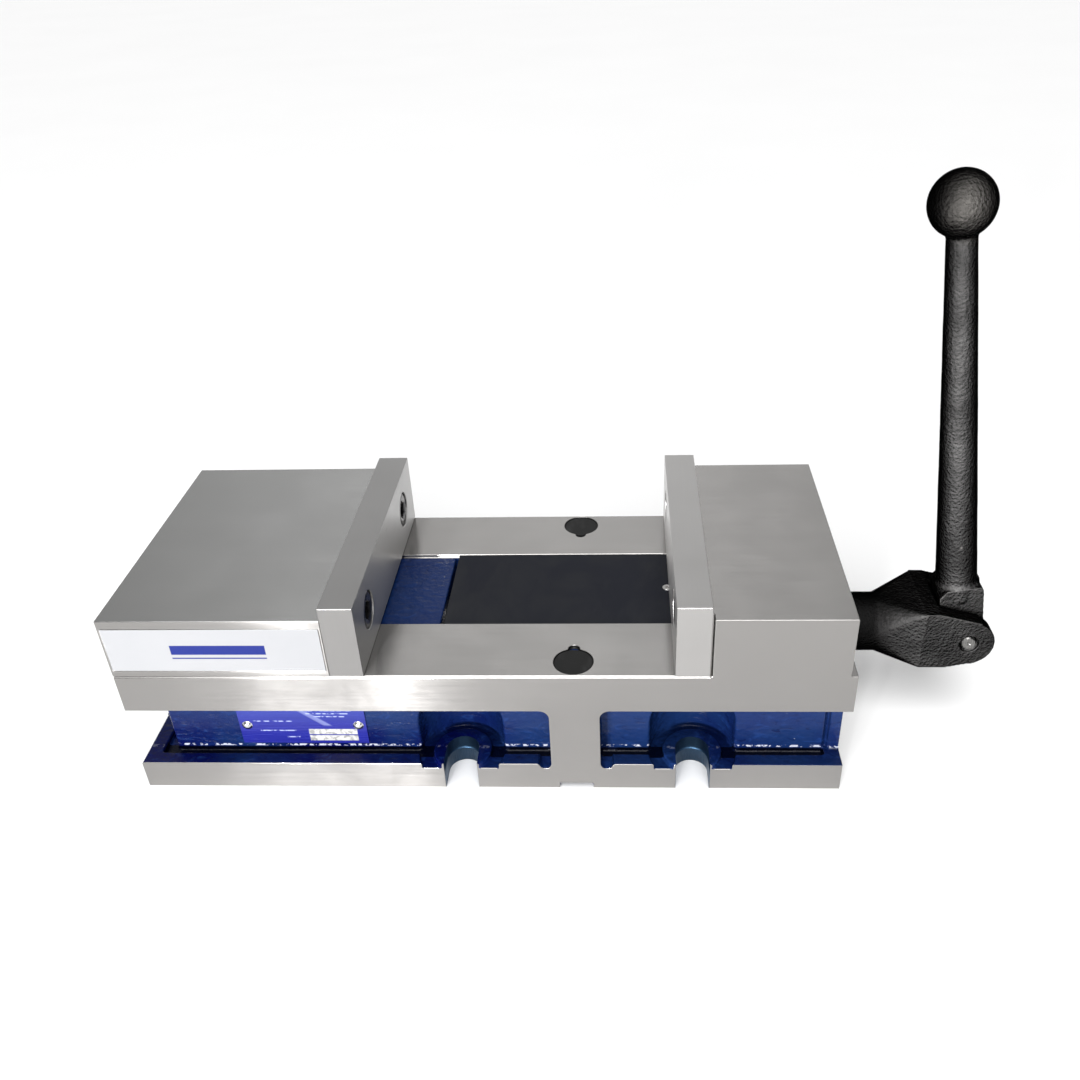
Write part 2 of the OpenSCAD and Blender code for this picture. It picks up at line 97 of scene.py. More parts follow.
class Tree:
    """A small wrapper that makes shader nodes short to write."""

    def __init__(self, name):
        self.material = bpy.data.materials.new(name)
        self.material.use_nodes = True
        self.nodes = self.material.node_tree.nodes
        self.links = self.material.node_tree.links
        self.nodes.clear()
        self.output = self.nodes.new("ShaderNodeOutputMaterial")
        self.shader = self.nodes.new("ShaderNodeBsdfPrincipled")
        self.link(self.shader.outputs[0], self.output.inputs[0])
        self.coords = self.nodes.new("ShaderNodeTexCoord").outputs["Object"]

    def link(self, a, b):
        self.links.new(a, b)

    def put(self, socket, value):
        """Sets a socket to a value, or links it to another socket."""
        if isinstance(value, bpy.types.NodeSocket):
            self.link(value, socket)
        else:
            socket.default_value = value

    def surface(self, **values):
        """Sets the shader's own sockets by name, with _ for a space."""
        for name, value in values.items():
            self.put(self.shader.inputs[name.replace("_", " ")], value)

    def stretched(self, x, y, z):
        """Object coordinates multiplied along each axis."""
        node = self.nodes.new("ShaderNodeMapping")
        self.link(self.coords, node.inputs["Vector"])
        node.inputs["Scale"].default_value = (x, y, z)
        return node.outputs[0]

    def noise(self, scale, detail=3.0, rough=0.55, vector=None, distortion=0.0):
        node = self.nodes.new("ShaderNodeTexNoise")
        self.link(vector or self.coords, node.inputs["Vector"])
        node.inputs["Scale"].default_value = scale
        node.inputs["Detail"].default_value = detail
        node.inputs["Roughness"].default_value = rough
        node.inputs["Distortion"].default_value = distortion
        return node.outputs["Fac"]

    def voronoi(self, scale, feature="F1", vector=None, smooth=None):
        node = self.nodes.new("ShaderNodeTexVoronoi")
        node.feature = feature
        self.link(vector or self.coords, node.inputs["Vector"])
        node.inputs["Scale"].default_value = scale
        if smooth is not None:
            node.inputs["Smoothness"].default_value = smooth
        return node.outputs["Distance"]

    def math(self, kind, a, b=0.0, c=0.0):
        node = self.nodes.new("ShaderNodeMath")
        node.operation = kind
        for socket, value in zip(node.inputs, (a, b, c)):
            self.put(socket, value)
        return node.outputs[0]

    def ramp(self, value, low, high, out_low=0.0, out_high=1.0):
        """Maps low..high to out_low..out_high, clamped."""
        node = self.nodes.new("ShaderNodeMapRange")
        self.put(node.inputs["Value"], value)
        node.inputs["From Min"].default_value = low
        node.inputs["From Max"].default_value = high
        node.inputs["To Min"].default_value = out_low
        node.inputs["To Max"].default_value = out_high
        return node.outputs[0]

    def mix(self, factor, a, b):
        """Mixes two colours."""
        node = self.nodes.new("ShaderNodeMix")
        node.data_type = "RGBA"
        self.put(node.inputs[0], factor)
        self.put(node.inputs[6], rgba(a))
        self.put(node.inputs[7], rgba(b))
        return node.outputs[2]

    def bump(self, height, strength, distance, normal=None):
        node = self.nodes.new("ShaderNodeBump")
        node.inputs["Strength"].default_value = strength
        node.inputs["Distance"].default_value = distance
        self.link(height, node.inputs["Height"])
        if normal is not None:
            self.link(normal, node.inputs["Normal"])
        return node.outputs[0]

    def part(self, vector, axis):
        """One axis of a vector socket."""
        node = self.nodes.new("ShaderNodeSeparateXYZ")
        self.link(vector, node.inputs[0])
        return node.outputs["XYZ".index(axis)]

    def edge_wear(self):
        """Bright on convex edges, from the mesh's pointiness."""
        return self.nodes.new("ShaderNodeNewGeometry").outputs["Pointiness"]


def rgba(value):
    return value if isinstance(value, bpy.types.NodeSocket) or len(value) == 4 else (*value, 1.0)


# ---------------------------------------------------------------- materials

def grinding_marks(t, along, seed_scale=1.0):
    """Fine scratches that run along one axis: 0..1, stretched 60 times in that direction."""
    scale = [1.0, 1.0, 1.0]
    scale["XYZ".index(along)] = 0.016
    fine = t.noise(2600 * seed_scale, 2.0, 0.6, t.stretched(*scale))
    broad = t.noise(420 * seed_scale, 3.0, 0.6, t.stretched(*scale))
    return t.math("ADD", t.math("MULTIPLY", fine, 0.6), t.math("MULTIPLY", broad, 0.4))


def ground_steel(name, along="X", tone=(0.50, 0.49, 0.475), rough=0.22, marks=1.0):
    """Surface-ground steel: satin marks along one axis, a faint oil bloom and small nicks."""
    t = Tree(name)
    lines = grinding_marks(t, along)
    cloud = t.noise(7, 2.0, 0.5)
    bloom = t.noise(30, 4.0, 0.6, distortion=0.4)
    nick = t.ramp(t.voronoi(150), 0.012, 0.03, 1.0, 0.0)
    rare = t.ramp(t.noise(55, 1.0), 0.69, 0.72)
    specks = t.math("MULTIPLY", nick, rare)
    base = t.mix(t.ramp(lines, 0.3, 0.7), tuple(c * 0.975 for c in tone), tuple(c * 1.02 for c in tone))
    base = t.mix(t.ramp(cloud, 0.35, 0.7, 0.0, 0.5), base, tuple(c * 0.93 for c in tone))
    base = t.mix(t.math("MULTIPLY", specks, 0.7), base, (0.16, 0.15, 0.14))
    roughness = t.math("ADD", t.ramp(lines, 0.3, 0.7, rough - 0.02, rough + 0.03),
                       t.ramp(bloom, 0.4, 0.7, -0.01, 0.03))
    height = t.math("SUBTRACT", t.math("MULTIPLY", lines, 0.4), specks)
    t.surface(Base_Color=base, Metallic=1.0, Roughness=roughness, Anisotropic=1.0,
              Normal=t.bump(height, 0.02 * marks, 0.00002))
    tangent = t.nodes.new("ShaderNodeTangent")
    tangent.direction_type = "RADIAL"
    tangent.axis = along
    t.link(tangent.outputs[0], t.shader.inputs["Tangent"])
    return t.material


def enamel(name, tone=(0.0045, 0.015, 0.062), deep=(0.001, 0.0025, 0.042)):
    """Thick gloss enamel over a sand casting: orange peel and wrinkles, with painted light higher up and on
    the wrinkle crests, painted shade in the wrinkle hollows and the drain trough, and painted glints along the
    wall's foot and in scattered specks.
    """
    t = Tree(name)
    sand = t.noise(520, 4.0, 0.62)
    wrinkle = t.noise(150, 4.0, 0.6, t.stretched(0.6, 1, 1.6), 1.5)
    peel = t.voronoi(310, "SMOOTH_F1", smooth=0.6)
    swell = t.noise(55, 3.0, 0.5)
    cloud = t.noise(16, 3.0, 0.55)
    up, side = t.part(t.coords, "Z"), t.math("ABSOLUTE", t.part(t.coords, "Y"))
    base = t.mix(t.ramp(cloud, 0.40, 0.62), deep, tone)
    # Painted light: the enamel turns lighter from 26 to 50 mm up.
    base = t.mix(t.ramp(up, 0.026, 0.050, 0.0, 0.75), base, tuple(c * 1.5 for c in tone))
    # Painted highlight on the wrinkle crests and painted shade in the wrinkle hollows.
    base = t.mix(t.ramp(wrinkle, 0.55, 0.72, 0.0, 0.5), base, tuple(c * 2.2 for c in tone))
    base = t.mix(t.ramp(wrinkle, 0.28, 0.40, 0.7, 0.0), base, (0.001, 0.002, 0.020))
    # Painted shade: the drain trough at the wall's foot is darkened almost to black.
    trough = t.math("MULTIPLY", t.ramp(up, 0.0160, 0.0169, 1.0, 0.0), band(t, side, 0.0600, 0.0682, 0.0002))
    base = t.mix(t.math("MULTIPLY", trough, 0.93), base, (0.0006, 0.0008, 0.004))
    # Painted glints: a pale speckled line along the wall's foot where light catches the fillet.
    foot = t.math("MULTIPLY", band(t, up, 0.0172, 0.0184, 0.0003), band(t, side, 0.0625, 0.0645, 0.0003))
    foot_glints = t.math("MULTIPLY", foot, t.ramp(t.noise(330, 2.0, 0.7), 0.50, 0.56))
    base = t.mix(t.math("MULTIPLY", foot_glints, 0.85), base, (0.45, 0.47, 0.55))
    # Painted glints: scattered pale specks standing in for sparkles of light on the gloss.
    painted_sparkles = t.math("MULTIPLY", t.ramp(t.voronoi(260), 0.05, 0.08, 1.0, 0.0),
                  t.ramp(t.noise(90, 1.0), 0.66, 0.70))
    base = t.mix(t.math("MULTIPLY", painted_sparkles, 0.6), base, (0.30, 0.34, 0.46))
    height = t.math("ADD", t.math("MULTIPLY", peel, 0.45),
                    t.math("ADD", t.math("MULTIPLY", sand, 0.35),
                           t.math("ADD", t.math("MULTIPLY", swell, 1.0), t.math("MULTIPLY", wrinkle, 0.9))))
    t.surface(Base_Color=base, Metallic=0.0, Roughness=t.ramp(sand, 0.3, 0.7, 0.12, 0.24),
              Specular_IOR_Level=0.10, Coat_Weight=0.10, Coat_Roughness=0.05,
              Normal=t.bump(height, 0.6, 0.0011))
    return t.material


def forged_black(name, lit=0.095):
    """Blackened forging: sandy grain, a painted sheen where it faces the viewer, brighter on the ball and left
    off the sleeve.
    """
    t = Tree(name)
    grain = t.noise(1300, 4.0, 0.7)
    pits = t.voronoi(620, "SMOOTH_F1", smooth=0.4)
    scale = t.noise(46, 4.0, 0.6)
    brush = t.noise(420, 2.0, 0.5, t.stretched(1, 1, 0.10))
    height = t.math("ADD", t.math("MULTIPLY", grain, 0.7),
                    t.math("ADD", t.math("MULTIPLY", pits, 0.5), t.math("MULTIPLY", brush, 0.12)))
    normal = t.bump(height, 0.8, 0.0006)
    facing = t.nodes.new("ShaderNodeLayerWeight")
    facing.inputs["Blend"].default_value = 0.5
    t.link(normal, facing.inputs["Normal"])
    # Painted sheen: the base colour turns lighter where the surface faces the viewer.
    sheen = t.ramp(facing.outputs["Facing"], 0.03, 0.34, 1.0, 0.0)
    patch = t.ramp(scale, 0.34, 0.66, 0.45, 1.0)
    # The painted sheen is brighter on the ball.
    ball = t.ramp(t.part(t.coords, "Z"), 0.262, 0.268)
    bright = t.mix(ball, (lit, lit * 0.98, lit * 0.97), (lit * 1.9, lit * 1.8, lit * 1.68))
    # The painted sheen is left off the sleeve, so the sleeve stays dark.
    sleeve = t.ramp(t.part(t.coords, "X"), 0.206, 0.228, 0.06, 1.0)
    lit_up = t.math("MULTIPLY", t.math("MULTIPLY", sheen, patch), sleeve)
    base = t.mix(lit_up, (0.0045, 0.0045, 0.0045), bright)
    rubbed = t.ramp(t.edge_wear(), 0.53, 0.62, 0.0, 0.45)
    base = t.mix(rubbed, base, (0.24, 0.23, 0.22))
    t.surface(Base_Color=base, Metallic=1.0, Roughness=t.ramp(grain, 0.3, 0.72, 0.40, 0.56),
              Specular_Tint=(0.02, 0.02, 0.02, 1.0), Normal=normal)
    return t.material


def black_oxide(name):
    """Oiled black oxide on a machined part."""
    t = Tree(name)
    fine = t.noise(1500, 3.0, 0.6)
    cloud = t.noise(70, 3.0, 0.6)
    base = t.mix(t.ramp(cloud, 0.4, 0.65), (0.018, 0.018, 0.021), (0.05, 0.05, 0.055))
    base = t.mix(t.ramp(t.edge_wear(), 0.53, 0.62, 0.0, 0.6), base, (0.32, 0.31, 0.30))
    t.surface(Base_Color=base, Metallic=0.9, Roughness=t.ramp(fine, 0.3, 0.7, 0.24, 0.36),
              Normal=t.bump(fine, 0.15, 0.0001))
    return t.material


def turned_steel(name, tone=(0.62, 0.61, 0.60), rough=0.24):
    """Machined or hardened steel with faint tool marks and an oily bloom."""
    t = Tree(name)
    rings = t.noise(1800, 2.0, 0.5, t.stretched(1, 0.1, 0.1))
    cloud = t.noise(60, 3.0, 0.6)
    base = t.mix(t.ramp(cloud, 0.35, 0.7), tuple(c * 0.8 for c in tone), tone)
    t.surface(Base_Color=base, Metallic=1.0, Roughness=t.ramp(rings, 0.3, 0.7, rough - 0.05, rough + 0.08),
              Normal=t.bump(rings, 0.2, 0.00006))
    return t.material


def cage_brass(name):
    """Satin pressed brass."""
    t = Tree(name)
    cloud = t.noise(120, 3.0, 0.6)
    base = t.mix(cloud, (0.45, 0.31, 0.11), (0.68, 0.52, 0.23))
    t.surface(Base_Color=base, Metallic=1.0, Roughness=t.ramp(cloud, 0.3, 0.7, 0.28, 0.42),
              Normal=t.bump(t.noise(900), 0.12, 0.0001))
    return t.material


def moulded_plastic(name, tone=(0.020, 0.020, 0.022), shine=0.42):
    """Fine-grained moulded plastic or rubber, slightly scuffed."""
    t = Tree(name)
    grain = t.voronoi(1500, "SMOOTH_F1", smooth=0.5)
    scuff = t.noise(90, 4.0, 0.65, t.stretched(1, 0.25, 1), 0.6)
    base = t.mix(t.ramp(scuff, 0.5, 0.72), tone, tuple(c * 2.1 + 0.01 for c in tone))
    t.surface(Base_Color=base, Roughness=t.ramp(scuff, 0.35, 0.7, shine, shine + 0.16),
              Specular_IOR_Level=0.2, Normal=t.bump(grain, 0.25, 0.0002))
    return t.material


def guard_steel(name):
    """Dark satin sheet steel, with rolling lines and dull wipe marks."""
    t = Tree(name)
    lines = grinding_marks(t, "X", 0.7)
    wipes = t.noise(26, 4.0, 0.6, t.stretched(1, 0.5, 1), 1.2)
    base = t.mix(t.ramp(wipes, 0.4, 0.66), (0.009, 0.010, 0.015), (0.017, 0.018, 0.021))
    t.surface(Base_Color=base, Metallic=0.0, Roughness=t.ramp(wipes, 0.3, 0.7, 0.46, 0.60),
              Specular_IOR_Level=0.10, Normal=t.bump(lines, 0.12, 0.00006))
    return t.material


def band(t, value, low, high, soft):
    """1 between low and high, with soft ends."""
    rise = t.ramp(value, low - soft, low + soft)
    fall = t.ramp(value, high - soft, high + soft, 1.0, 0.0)
    return t.math("MULTIPLY", rise, fall)


def label_film(name, low, high):
    """Gloss white film with one plain blue stripe; low and high are the label's corners."""
    t = Tree(name)
    x, z = t.part(t.coords, "X"), t.part(t.coords, "Z")
    width, height = high.x - low.x, high.z - low.z
    stripe = t.math("MULTIPLY", band(t, z, low.z + 0.40 * height, low.z + 0.62 * height, 0.0001),
                    band(t, x, low.x + 0.30 * width, low.x + 0.74 * width, 0.0001))
    hairline = t.math("MULTIPLY", band(t, z, low.z + 0.30 * height, low.z + 0.33 * height, 0.0001),
                      band(t, x, low.x + 0.30 * width, low.x + 0.74 * width, 0.0001))
    sheen = t.noise(14, 2.0, 0.5)
    paper = t.mix(sheen, (0.235, 0.238, 0.248), (0.27, 0.273, 0.282))
    ink = t.mix(sheen, (0.002, 0.008, 0.10), (0.003, 0.012, 0.13))
    t.surface(Base_Color=t.mix(t.math("MAXIMUM", stripe, hairline), paper, ink),
              Roughness=0.24, Specular_IOR_Level=0.3, Coat_Weight=0.1, Coat_Roughness=0.05,
              Normal=t.bump(t.noise(70, 2.0), 0.1, 0.0004))
    return t.material


def plate_foil(name, low, high):
    """Blue data plate with blank printing: fine pale rows, a two-row silver box and slanted streaks."""
    t = Tree(name)
    lines = grinding_marks(t, "X", 1.3)
    across = t.ramp(t.part(t.coords, "X"), low.x, high.x)
    up = t.ramp(t.part(t.coords, "Z"), low.z, high.z)
    worn = t.ramp(t.noise(420, 3.0, 0.6), 0.42, 0.52)
    base = t.mix(t.ramp(lines, 0.35, 0.65), (0.010, 0.012, 0.150), (0.014, 0.018, 0.190))
    base = t.mix(t.ramp(up, 0.5, 1.0, 0.0, 0.35), base, (0.05, 0.08, 0.30))
    pale = (0.30, 0.34, 0.52)
    for height, start, end in ((0.91, 0.50, 0.90), (0.83, 0.54, 0.87), (0.75, 0.60, 0.84),
                               (0.62, 0.12, 0.42), (0.36, 0.16, 0.44), (0.18, 0.36, 0.46)):
        row = t.math("MULTIPLY", band(t, up, height - 0.012, height + 0.012, 0.008),
                     band(t, across, start, end, 0.004))
        base = t.mix(t.math("MULTIPLY", row, worn), base, pale)
    slant = t.math("SUBTRACT", up, t.math("MULTIPLY", across, -2.2))
    for place_at, reach in ((2.05, 0.05), (1.98, 0.015)):
        streak = t.math("MULTIPLY", band(t, slant, place_at - reach, place_at + reach, 0.02),
                        band(t, up, 0.50, 0.96, 0.02))
        base = t.mix(t.math("MULTIPLY", streak, 0.35), base, pale)
    box = t.math("MULTIPLY", band(t, up, 0.08, 0.40, 0.01), band(t, across, 0.54, 0.92, 0.003))
    gap = t.math("SUBTRACT", 1.0, band(t, up, 0.225, 0.255, 0.008))
    silver = t.math("MULTIPLY", box, gap)
    base = t.mix(silver, base, t.mix(worn, (0.22, 0.22, 0.22), (0.42, 0.42, 0.41)))
    t.surface(Base_Color=base, Metallic=0.1, Roughness=t.ramp(lines, 0.3, 0.7, 0.2, 0.3),
              Specular_IOR_Level=0.25, Coat_Weight=0.1, Coat_Roughness=0.1,
              Normal=t.bump(lines, 0.1, 0.00005))
    return t.material


# ---------------------------------------------------------------- mesh helpers

SHARP = math.radians(28)


def solid_copy(node):
    """A bmesh of a CAD node with its triangles merged into whole faces."""
    bm = bmesh.new()
    bm.from_mesh(NODES[node].data)
    bmesh.ops.remove_doubles(bm, verts=bm.verts, dist=0.02 * MM)
    bmesh.ops.dissolve_limit(bm, angle_limit=math.radians(0.4), verts=bm.verts, edges=bm.edges)
    return bm


def place(name, bm_or_mesh, materials, body, replaces=()):
    """Makes a piece from a mesh, gives it its materials, and lets it ride on a body."""
    if isinstance(bm_or_mesh, bmesh.types.BMesh):
        mesh = bpy.data.meshes.new(name)
        bm_or_mesh.to_mesh(mesh)
        bm_or_mesh.free()
    else:
        mesh = bm_or_mesh
    for material in materials:
        mesh.materials.append(material)
    mesh.polygons.foreach_set("use_smooth", [True] * len(mesh.polygons))
    piece = bpy.data.objects.new(name, mesh)
    bpy.context.scene.collection.objects.link(piece)
    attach(piece, body)
    if replaces:
        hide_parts(*replaces)
    return piece


def broken_edges(piece, width, segments=2):
    """Breaks a piece's edges with a bevel whose width each edge's weight scales."""
    bevel = piece.modifiers.new("broken_edges", "BEVEL")
    bevel.width = width
    bevel.segments = segments
    bevel.limit_method = "WEIGHT"
    bevel.use_clamp_overlap = False
    bevel.miter_outer = "MITER_ARC"
    flat = piece.modifiers.new("flat_faces", "WEIGHTED_NORMAL")
    flat.weight = 100
    return piece


def weigh_edges(bm, weight_of):
    """Sets each sharp edge's bevel weight to weight_of(edge)."""
    layer = bm.edges.layers.float.get("bevel_weight_edge") or bm.edges.layers.float.new("bevel_weight_edge")
    for edge in bm.edges:
        if len(edge.link_faces) == 2 and edge.calc_face_angle(0) > SHARP:
            edge[layer] = weight_of(edge)


def refined(node, name, materials, body, width=0.4 * MM, segments=2, zone=None, weight_of=None):
    """A CAD node's own shape with broken edges, standing for that node."""
    bm = solid_copy(node)
    if zone:
        for face in bm.faces:
            face.material_index = zone(face.calc_center_median(), face.normal)
    weigh_edges(bm, weight_of or (lambda edge: 1.0))
    piece = place(name, bm, materials, body, (node,))
    return broken_edges(piece, width, segments)


def ends_of(along):
    """A zone function for a block: 1 on the faces at its two ends, 0 on the others."""
    def zone(centre, normal):
        return int(abs(normal["XYZ".index(along)]) > 0.9)
    return zone


def jaw_zone(centre, normal):
    """A zone function for the movable jaw: 0 on the top, 1 on the ends, 2 on the sides."""
    return 1 if abs(normal.x) > 0.9 else 2 if abs(normal.y) > 0.9 else 0


def turned(rings, steps, origin, axis, bm=None):
    """A closed mesh turned from (radius, distance along the axis) rings.

    A radius may be a function of the angle, and the first and last rings may have radius 0.
    """
    axis = Vector(axis).normalized()
    side = axis.orthogonal().normalized()
    other = axis.cross(side)
    bm = bm or bmesh.new()
    loops = []
    for radius, along in rings:
        centre = Vector(origin) + axis * along
        if radius == 0:
            loops.append([bm.verts.new(centre)])
            continue
        loop = []
        for i in range(steps):
            turn = 2 * math.pi * i / steps
            r = radius(turn) if callable(radius) else radius
            loop.append(bm.verts.new(centre + (side * math.cos(turn) + other * math.sin(turn)) * r))
        loops.append(loop)
    faces = []
    for low, high in zip(loops, loops[1:]):
        for i in range(steps):
            j = (i + 1) % steps
            corners = [low[i % len(low)], low[j % len(low)], high[j % len(high)], high[i % len(high)]]
            faces.append(bm.faces.new(list(dict.fromkeys(corners))))
    bmesh.ops.recalc_face_normals(bm, faces=faces)
    return bm


def hexagon(across):
    """Radius of a hexagon, by angle, for turned(); across is its width across the flats."""
    def radius(turn):
        return across / 2 / math.cos((turn + math.pi / 6) % (math.pi / 3) - math.pi / 6)
    return radius


def knurl(outer, depth, teeth):
    """Radius of a toothed edge, by angle, for turned()."""
    def radius(turn):
        return outer - depth * (0.5 + 0.5 * math.cos(turn * teeth))
    return radius


def arc_rings(centre_r, centre_along, radius, start, end, count):
    """Rings on an arc; angles in degrees, 0 pointing along the axis and 90 away from it."""
    turns = [math.radians(start + (end - start) * i / count) for i in range(count + 1)]
    return [(centre_r + radius * math.sin(a), centre_along + radius * math.cos(a)) for a in turns]


def sharp_by_angle(bm, degrees=30):
    """Marks the edges that stay crisp under smooth shading."""
    for edge in bm.edges:
        if len(edge.link_faces) == 2:
            edge.smooth = edge.calc_face_angle(0) < math.radians(degrees)


# ---------------------------------------------------------------- body

BODY_LOW, BODY_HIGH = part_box("body")
BED_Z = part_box("movable_jaw")[0].z
SIDE_Y = BODY_HIGH.y
NEAR = 0.15 * MM
GROUND, CAST, BORED, GROUND_END, GROUND_SIDE, WELL, NOTCH = range(7)
KEYWAY_Z = 3.7 * MM
RELIEF_Y = 41.9 * MM
SLOT_Y = 33.6 * MM
SLOT_Z = BED_Z - 2.1 * MM
RAIL_Z = 53.3 * MM
CHAMFER = 1.3 * MM
FILLET_REACH = 3 * MM
BOLT_R = 10.6 * MM
WELL_R = 13.6 * MM
NOTCH_SHIFT = 60.5 * MM
NOTCH_R = 9 * MM
NOTCH_Z = 12 * MM
BEARING_R = 19.5 * MM
BEARING_X = 149 * MM


PLUG_LOW, PLUG_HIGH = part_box("bed_plugs")
BOLT = Vector(((PLUG_LOW.x + PLUG_HIGH.x) / 2, PLUG_HIGH.y - BOLT_R + 0.6 * MM))
SCREW_Z = sum(corner.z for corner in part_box("bearing_cap")) / 2


def in_well(point):
    """Whether a point is in a mounting bolt's well or in the pry notch beside it."""
    return (Vector((point.x, abs(point.y))) - BOLT).length < WELL_R


def in_notch(point):
    """Whether a point is in one of the clamp notches through the base flange."""
    return abs(abs(point.x - BOLT.x) - NOTCH_SHIFT) < NOTCH_R and point.z < NOTCH_Z


def body_zone(centre, normal):
    """Which finish a face of the casting has: ground, enamelled, bored, or inside a well or a notch; the side,
    well and notch zones take materials with painted shade and painted light.
    """
    if abs(centre.y) > SIDE_Y - NEAR:
        return GROUND_SIDE
    if in_well(centre) and abs(normal.z) < 0.9:
        return WELL
    if in_notch(centre) and abs(normal.z) < 0.5:
        return NOTCH
    if centre.z > BED_Z + NEAR and abs(normal.x) > 0.9:
        return GROUND_END
    if centre.z > BED_Z - NEAR or (centre.z > SLOT_Z and abs(centre.y) < SLOT_Y):
        return GROUND
    if centre.z < KEYWAY_Z and not (abs(centre.y) < RELIEF_Y and centre.z > NEAR):
        return GROUND
    if centre.z > BED_Z - CHAMFER and abs(centre.y) > SIDE_Y - CHAMFER:
        return GROUND
    if centre.z > RAIL_Z and abs(normal.x) > 0.9 and abs(centre.x) > BODY_HIGH.x - 2 * MM:
        return GROUND_END
    if centre.x > BEARING_X and math.hypot(centre.y, centre.z - SCREW_Z) < BEARING_R:
        return BORED
    return CAST


def body_edge_weight(edge):
    """Wide fillets between enamelled faces, less on short edges of arcs, and none inside wells and notches."""
    kinds = {face.material_index for face in edge.link_faces}
    if NOTCH in kinds:
        return 0.3 if GROUND_SIDE in kinds else 0.0
    if WELL in kinds:
        return 0.25 if kinds == {WELL, GROUND} else 0.0
    if kinds == {CAST}:
        return min(1.0, max(0.1, edge.calc_length() / FILLET_REACH))
    return 0.3


# ---------------------------------------------------------------- fasteners and small pieces

def cap_screws(node, name, out, material):
    """Knurled socket-head screws along X, standing for a node; out is +1 or -1, the way the heads face."""
    low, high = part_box(node)
    head_r, shank_r, key = 9.5 * MM, 6.35 * MM, 9.53 * MM
    length = high.x - low.x
    mid_z = (low.z + high.z) / 2
    face_x = high.x if out > 0 else low.x
    grip = knurl(head_r, 0.32 * MM, 56)
    rings = [(0, -7.4 * MM), (hexagon(key * 0.9), -6.6 * MM), (hexagon(key), -6.2 * MM),
             (hexagon(key), -0.5 * MM), (6.3 * MM, 0), (8.5 * MM, 0), (9.1 * MM, -0.35 * MM),
             (grip, -1.1 * MM), (grip, -11.6 * MM), (9.0 * MM, -12.4 * MM), (8.8 * MM, -12.7 * MM),
             (shank_r + 0.5 * MM, -12.7 * MM), (shank_r, -13.2 * MM), (shank_r, 1 * MM - length),
             (shank_r - 0.9 * MM, -length), (0, -length)]
    bm = bmesh.new()
    for y in (low.y + head_r, high.y - head_r):
        turned(rings, 168, (face_x, y, mid_z), (out, 0, 0), bm)
    sharp_by_angle(bm, 34)
    return place(name, bm, [material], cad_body(node), (node,))


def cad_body(node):
    """The body that a CAD node rides on."""
    return body_of(NODES[node])[0]


def pivot_pin(material):
    """Pin of the crank's fold, with faced and centre-drilled ends."""
    low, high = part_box("handle_pivot_pin")
    r = (high.z - low.z) / 2
    half = (high.y - low.y) / 2
    end = [(0, -0.9 * MM), (0.7 * MM, -0.35 * MM), (1.3 * MM, -0.12 * MM), (1.5 * MM, -0.05 * MM),
           (2.0 * MM, -0.12 * MM), (2.5 * MM, -0.05 * MM), (r - 0.7 * MM, -0.1 * MM), (r, -0.75 * MM)]
    rings = [(radius, half + along) for radius, along in end]
    rings += [(radius, -half - along) for radius, along in reversed(end)]
    middle = (low + high) / 2
    bm = turned(rings, 64, middle, (0, 1, 0))
    sharp_by_angle(bm, 32)
    return place("pivot_pin", bm, [material], "socket", ("handle_pivot_pin",))


def stop_screw(material):
    """Small countersunk screw with a hexagon socket that stops the chip guard."""
    low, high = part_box("guard_screw")
    top, head_r, shank_r = high.z, (high.x - low.x) / 2, 1.5 * MM
    rings = [(0, -1.0 * MM), (hexagon(1.9 * MM), -0.9 * MM), (hexagon(1.9 * MM), -0.08 * MM),
             (1.35 * MM, 0), (head_r - 0.12 * MM, 0), (head_r, -0.12 * MM), (shank_r, -1.25 * MM),
             (shank_r, 0.4 * MM - (top - low.z)), (1.1 * MM, low.z - top), (0, low.z - top)]
    middle = (low + high) / 2
    bm = turned(rings, 48, (middle.x, middle.y, top), (0, 0, 1))
    sharp_by_angle(bm, 32)
    return place("guard_stop_screw", bm, [material], "guard", ("guard_screw",))


def rivets(material):
    """Domed heads of the data plate's drive rivets."""
    low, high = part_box("data_plate_rivets")
    head_r, back, front = 2.8 * MM, high.y, low.y
    rise = back - front
    rings = [(0, rise)] + arc_rings(0, rise - 3.2 * MM, 3.2 * MM, 8, 54, 8)
    rings += [(head_r, rise - 1.4 * MM), (1.6 * MM, rise - 1.4 * MM), (1.6 * MM, 0), (0, 0)]
    mid_z = (low.z + high.z) / 2
    bm = bmesh.new()
    for x in (low.x + head_r, high.x - head_r):
        turned(rings, 40, (x, back, mid_z), (0, -1, 0), bm)
    sharp_by_angle(bm, 40)
    return place("plate_rivets", bm, [material], "base", ("data_plate_rivets",))


# ---------------------------------------------------------------- screw

